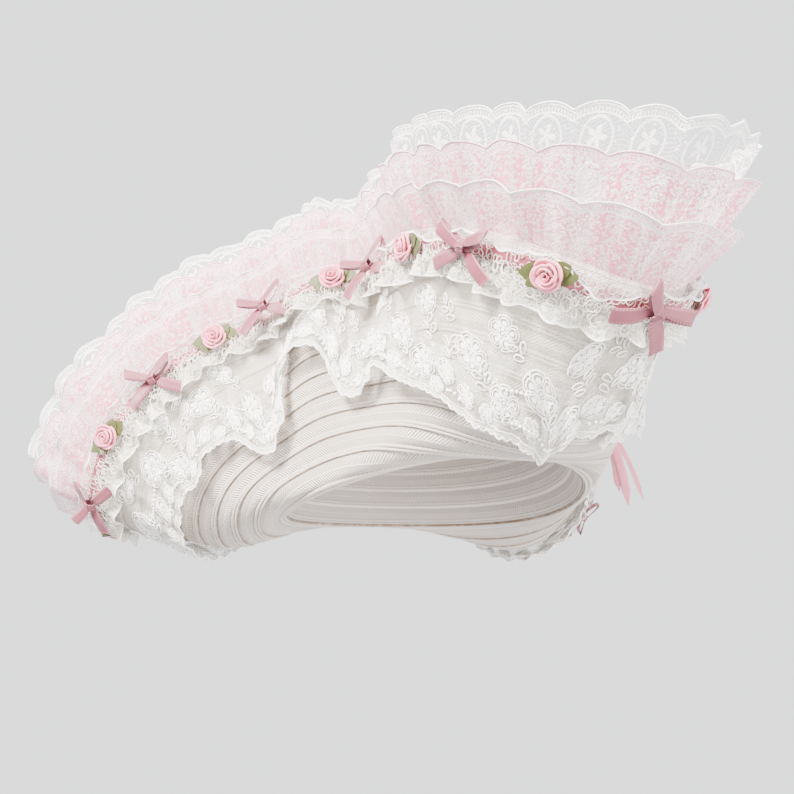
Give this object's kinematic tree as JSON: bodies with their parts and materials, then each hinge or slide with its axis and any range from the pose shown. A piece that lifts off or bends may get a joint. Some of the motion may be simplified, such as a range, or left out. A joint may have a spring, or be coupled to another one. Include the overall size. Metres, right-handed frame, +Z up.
{
  "type": "tricorn hat",
  "caption": "Straw tricorn hat with upstanding white and pink lace frills, embroidered net over the flaps, ribbon roses and satin bows along the rim.",
  "frame": {"origin": "middle of the head opening", "axes": "+Z up, -Y the front corner over the face, +X the wearer's left"},
  "size_m": [0.5534, 0.5712, 0.2651],
  "materials": {
    "straw": "satin, sewn straw braid",
    "white_net": "matt cotton net lace",
    "pink_net": "matt net lace",
    "pale_pink_net": "matt net lace",
    "gimp": "looped braid over satin ribbon",
    "ruffle_net": "matt gathered lace",
    "embroidered_net": "matt net with satin stitch",
    "rose_ribbon": "satin ribbon",
    "leaf_ribbon": "satin ribbon",
    "bow_ribbon": "satin ribbon with picot edges",
    "tail_ribbon": "sheer satin ribbon"
  },
  "bodies": {
    "root": {"crown": "straw", "brim": "straw", "tall_lace": "white_net", "pink_lace": "pink_net", "short_lace": "pale_pink_net", "rim_trim": "gimp", "rim_ruffle": "ruffle_net", "wide_lace": "embroidered_net", "side_bow": "tail_ribbon", "rose_01": "rose_ribbon", "leaves_01": "leaf_ribbon", "bow_01": "bow_ribbon", "rose_02": "rose_ribbon", "leaves_02": "leaf_ribbon", "bow_02": "bow_ribbon", "rose_03": "rose_ribbon", "leaves_03": "leaf_ribbon", "bow_03": "bow_ribbon", "rose_04": "rose_ribbon", "leaves_04": "leaf_ribbon", "bow_04": "bow_ribbon", "rose_05": "rose_ribbon", "leaves_05": "leaf_ribbon", "bow_05": "bow_ribbon", "rose_06": "rose_ribbon", "leaves_06": "leaf_ribbon", "bow_06": "bow_ribbon", "rose_07": "rose_ribbon", "leaves_07": "leaf_ribbon", "bow_07": "bow_ribbon", "rose_08": "rose_ribbon", "leaves_08": "leaf_ribbon", "bow_08": "bow_ribbon", "rose_09": "rose_ribbon", "leaves_09": "leaf_ribbon", "bow_09": "bow_ribbon", "rose_10": "rose_ribbon", "leaves_10": "leaf_ribbon", "bow_10": "bow_ribbon", "rose_11": "rose_ribbon", "leaves_11": "leaf_ribbon", "bow_11": "bow_ribbon", "rose_12": "rose_ribbon", "leaves_12": "leaf_ribbon", "bow_12": "bow_ribbon", "rose_13": "rose_ribbon", "leaves_13": "leaf_ribbon", "bow_13": "bow_ribbon", "rose_14": "rose_ribbon", "leaves_14": "leaf_ribbon", "bow_14": "bow_ribbon", "rose_15": "rose_ribbon", "leaves_15": "leaf_ribbon", "bow_15": "bow_ribbon", "rose_16": "rose_ribbon", "leaves_16": "leaf_ribbon", "bow_16": "bow_ribbon"}
  },
  "joints": []
}
